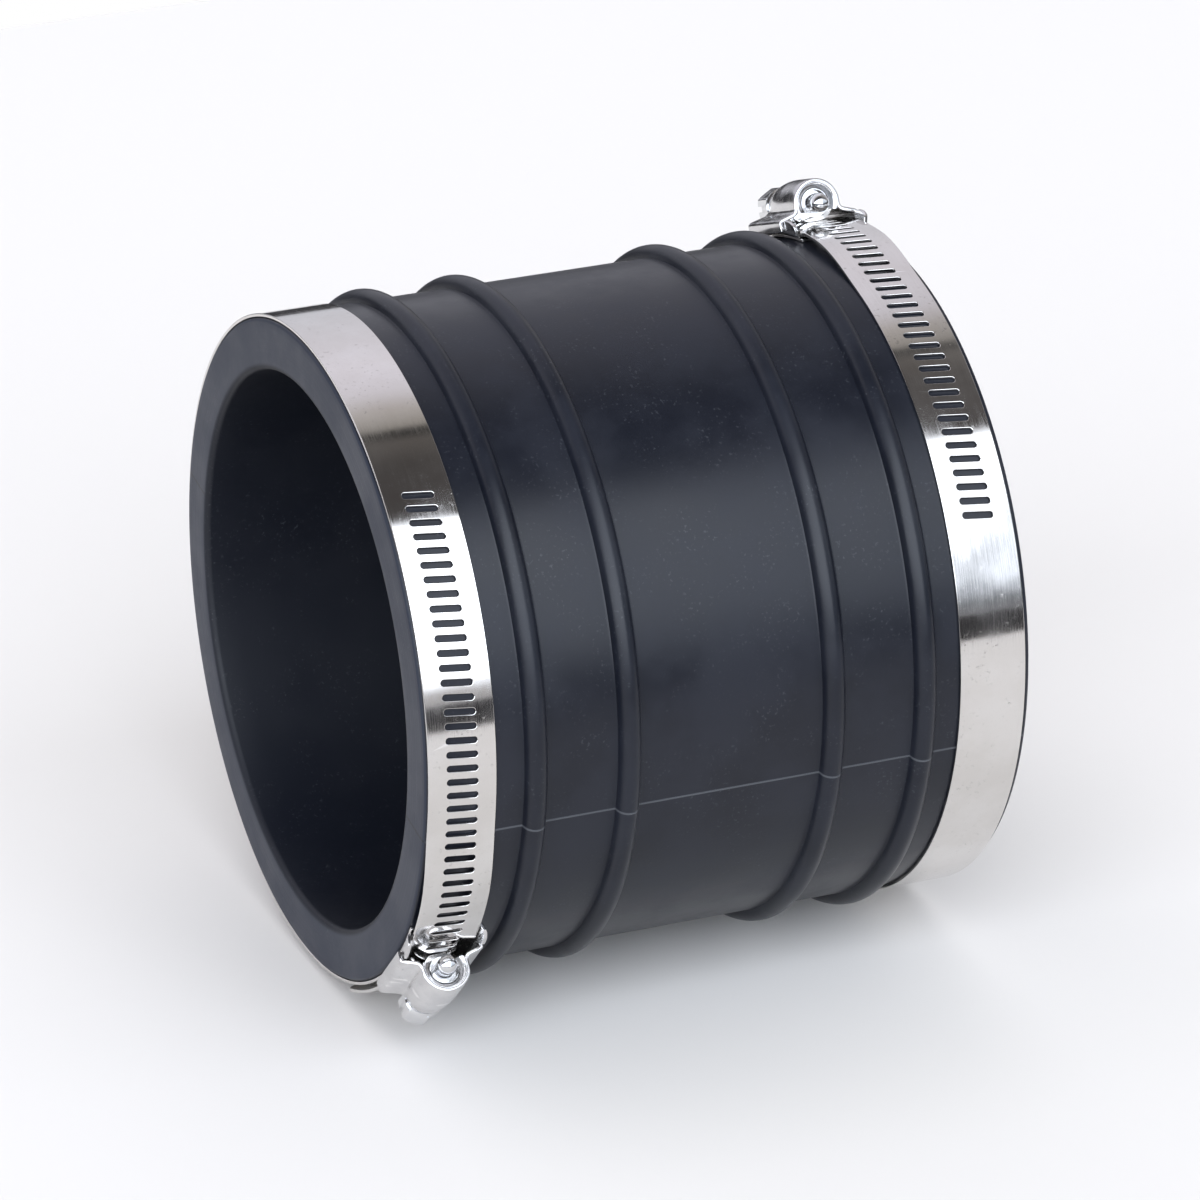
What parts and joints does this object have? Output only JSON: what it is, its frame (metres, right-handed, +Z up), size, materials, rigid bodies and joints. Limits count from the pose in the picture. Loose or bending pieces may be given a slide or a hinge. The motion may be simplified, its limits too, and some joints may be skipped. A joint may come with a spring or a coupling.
{
  "type": "pipe coupling",
  "caption": "Ribbed black rubber coupling sleeve for joining two pipe ends, held by a stainless worm-drive clamp at each end.",
  "frame": {"origin": "centre of the bore, midway between the two end faces", "axes": "+X along the bore, +Z up"},
  "size_m": [0.1176, 0.1256, 0.1309],
  "materials": {
    "sleeve_rubber": "moulded EPDM rubber, semi-matt black with a faint blue cast",
    "band_steel": "bright rolled stainless strip, pierced slots",
    "head_steel": "pressed stainless sheet, bright",
    "screw_steel": "bright cold-formed steel screw"
  },
  "bodies": {
    "sleeve": {"sleeve": "sleeve_rubber"},
    "head_a": {"housing_a": "head_steel", "saddle_a": "head_steel"},
    "screw_a": {"screw_a": "screw_steel"},
    "band_a": {"band_a": "band_steel"},
    "head_b": {"housing_b": "head_steel", "saddle_b": "head_steel"},
    "screw_b": {"screw_b": "screw_steel"},
    "band_b": {"band_b": "band_steel"}
  },
  "joints": [
    {"name": "clamp_a_turn", "type": "hinge", "parent": "sleeve", "child": "head_a", "pos_m": [-0.05125, 0, 0], "axis": [1, 0, 0], "continuous": true},
    {"name": "screw_a_turn", "type": "hinge", "parent": "head_a", "child": "screw_a", "pos_m": [-0.05125, -0.04694, -0.04613], "axis": [0, -0.7009, 0.7133], "range_deg": [-1440, 1080]},
    {"name": "band_a_draw", "type": "hinge", "parent": "head_a", "child": "band_a", "pos_m": [-0.05125, 0, 0], "axis": [1, 0, 0], "range_deg": [-10.24, 7.8]},
    {"name": "clamp_b_turn", "type": "hinge", "parent": "sleeve", "child": "head_b", "pos_m": [0.05045, 0, 0], "axis": [1, 0, 0], "continuous": true},
    {"name": "screw_b_turn", "type": "hinge", "parent": "head_b", "child": "screw_b", "pos_m": [0.05045, 0.02465, 0.06102], "axis": [0, -0.9272, 0.3746], "range_deg": [-1440, 1080]},
    {"name": "band_b_draw", "type": "hinge", "parent": "head_b", "child": "band_b", "pos_m": [0.05045, 0, 0], "axis": [-1, 0, 0], "range_deg": [-10.24, 7.8]}
  ],
  "couplings": [
    {"joint": "band_a_draw", "follows": "screw_a_turn", "ratio": 0.0067633},
    {"joint": "band_b_draw", "follows": "screw_b_turn", "ratio": 0.0067633}
  ]
}
